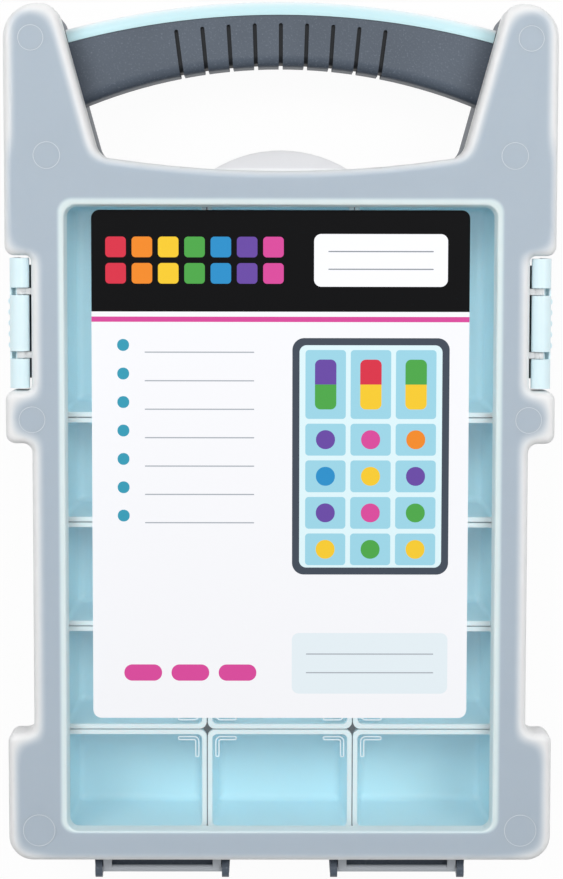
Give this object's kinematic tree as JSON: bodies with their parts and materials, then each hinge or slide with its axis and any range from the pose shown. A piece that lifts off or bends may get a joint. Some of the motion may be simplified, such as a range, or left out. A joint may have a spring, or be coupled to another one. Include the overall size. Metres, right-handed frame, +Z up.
{
  "type": "craft storage case",
  "caption": "Flat carry case for craft parts: dark base with a grip, hinged translucent lid with side latches, and lift-out bins in rows under a clear window.",
  "frame": {"origin": "centre of the overall box, on the surface that the base stands on", "axes": "+Y towards the handle, +X to the right with the handle away from the viewer, +Z up through the lid"},
  "size_m": [0.23, 0.3736, 0.059],
  "materials": {
    "charcoal_plastic": "satin moulded",
    "aqua_plastic": "gloss moulded",
    "bin_plastic": "gloss moulded",
    "frosted_plastic": "frosted border, clear window",
    "label_paper": "printed"
  },
  "bodies": {
    "base": {"base_tray": "charcoal_plastic", "handle_grip": "charcoal_plastic", "handle_cap": "aqua_plastic"},
    "lid": {"lid": "frosted_plastic", "label_sheet": "label_paper"},
    "latch_left": {"latch_left": "aqua_plastic"},
    "latch_right": {"latch_right": "aqua_plastic"},
    "small_bin_1_1": {"small_bin_1_1": "bin_plastic"},
    "small_bin_1_2": {"small_bin_1_2": "bin_plastic"},
    "small_bin_1_3": {"small_bin_1_3": "bin_plastic"},
    "small_bin_2_1": {"small_bin_2_1": "bin_plastic"},
    "small_bin_2_2": {"small_bin_2_2": "bin_plastic"},
    "small_bin_2_3": {"small_bin_2_3": "bin_plastic"},
    "small_bin_3_1": {"small_bin_3_1": "bin_plastic"},
    "small_bin_3_2": {"small_bin_3_2": "bin_plastic"},
    "small_bin_3_3": {"small_bin_3_3": "bin_plastic"},
    "small_bin_4_1": {"small_bin_4_1": "bin_plastic"},
    "small_bin_4_2": {"small_bin_4_2": "bin_plastic"},
    "small_bin_4_3": {"small_bin_4_3": "bin_plastic"},
    "large_bin_1": {"large_bin_1": "bin_plastic"},
    "large_bin_2": {"large_bin_2": "bin_plastic"},
    "large_bin_3": {"large_bin_3": "bin_plastic"}
  },
  "joints": [
    {"name": "lid_hinge", "type": "hinge", "parent": "base", "child": "lid", "pos_m": [0, -0.18305, 0.043], "axis": [1, 0, 0], "range_deg": [0, 180]},
    {"name": "latch_left_swing", "type": "hinge", "parent": "lid", "child": "latch_left", "pos_m": [-0.1091, 0.05225, 0.0537], "axis": [0, 1, 0], "range_deg": [0, 110]},
    {"name": "latch_right_swing", "type": "hinge", "parent": "lid", "child": "latch_right", "pos_m": [0.1091, 0.05225, 0.0537], "axis": [0, -1, 0], "range_deg": [0, 110]},
    {"name": "small_bin_1_1_lift", "type": "slide", "parent": "base", "child": "small_bin_1_1", "axis": [0, 0, 1], "range_m": [0, 0.06]},
    {"name": "small_bin_1_2_lift", "type": "slide", "parent": "base", "child": "small_bin_1_2", "axis": [0, 0, 1], "range_m": [0, 0.06]},
    {"name": "small_bin_1_3_lift", "type": "slide", "parent": "base", "child": "small_bin_1_3", "axis": [0, 0, 1], "range_m": [0, 0.06]},
    {"name": "small_bin_2_1_lift", "type": "slide", "parent": "base", "child": "small_bin_2_1", "axis": [0, 0, 1], "range_m": [0, 0.06]},
    {"name": "small_bin_2_2_lift", "type": "slide", "parent": "base", "child": "small_bin_2_2", "axis": [0, 0, 1], "range_m": [0, 0.06]},
    {"name": "small_bin_2_3_lift", "type": "slide", "parent": "base", "child": "small_bin_2_3", "axis": [0, 0, 1], "range_m": [0, 0.06]},
    {"name": "small_bin_3_1_lift", "type": "slide", "parent": "base", "child": "small_bin_3_1", "axis": [0, 0, 1], "range_m": [0, 0.06]},
    {"name": "small_bin_3_2_lift", "type": "slide", "parent": "base", "child": "small_bin_3_2", "axis": [0, 0, 1], "range_m": [0, 0.06]},
    {"name": "small_bin_3_3_lift", "type": "slide", "parent": "base", "child": "small_bin_3_3", "axis": [0, 0, 1], "range_m": [0, 0.06]},
    {"name": "small_bin_4_1_lift", "type": "slide", "parent": "base", "child": "small_bin_4_1", "axis": [0, 0, 1], "range_m": [0, 0.06]},
    {"name": "small_bin_4_2_lift", "type": "slide", "parent": "base", "child": "small_bin_4_2", "axis": [0, 0, 1], "range_m": [0, 0.06]},
    {"name": "small_bin_4_3_lift", "type": "slide", "parent": "base", "child": "small_bin_4_3", "axis": [0, 0, 1], "range_m": [0, 0.06]},
    {"name": "large_bin_1_lift", "type": "slide", "parent": "base", "child": "large_bin_1", "axis": [0, 0, 1], "range_m": [0, 0.06]},
    {"name": "large_bin_2_lift", "type": "slide", "parent": "base", "child": "large_bin_2", "axis": [0, 0, 1], "range_m": [0, 0.06]},
    {"name": "large_bin_3_lift", "type": "slide", "parent": "base", "child": "large_bin_3", "axis": [0, 0, 1], "range_m": [0, 0.06]}
  ],
  "couplings": [
    {"joint": "small_bin_1_1_lift", "follows": "lid_hinge", "m_per_rad": 0.019098},
    {"joint": "small_bin_1_2_lift", "follows": "lid_hinge", "m_per_rad": 0.019098},
    {"joint": "small_bin_1_3_lift", "follows": "lid_hinge", "m_per_rad": 0.019098},
    {"joint": "small_bin_2_1_lift", "follows": "lid_hinge", "m_per_rad": 0.019098},
    {"joint": "small_bin_2_2_lift", "follows": "lid_hinge", "m_per_rad": 0.019098},
    {"joint": "small_bin_2_3_lift", "follows": "lid_hinge", "m_per_rad": 0.019098},
    {"joint": "small_bin_3_1_lift", "follows": "lid_hinge", "m_per_rad": 0.019098},
    {"joint": "small_bin_3_2_lift", "follows": "lid_hinge", "m_per_rad": 0.019098},
    {"joint": "small_bin_3_3_lift", "follows": "lid_hinge", "m_per_rad": 0.019098},
    {"joint": "small_bin_4_1_lift", "follows": "lid_hinge", "m_per_rad": 0.019098},
    {"joint": "small_bin_4_2_lift", "follows": "lid_hinge", "m_per_rad": 0.019098},
    {"joint": "small_bin_4_3_lift", "follows": "lid_hinge", "m_per_rad": 0.019098},
    {"joint": "large_bin_1_lift", "follows": "lid_hinge", "m_per_rad": 0.019098},
    {"joint": "large_bin_2_lift", "follows": "lid_hinge", "m_per_rad": 0.019098},
    {"joint": "large_bin_3_lift", "follows": "lid_hinge", "m_per_rad": 0.019098}
  ]
}
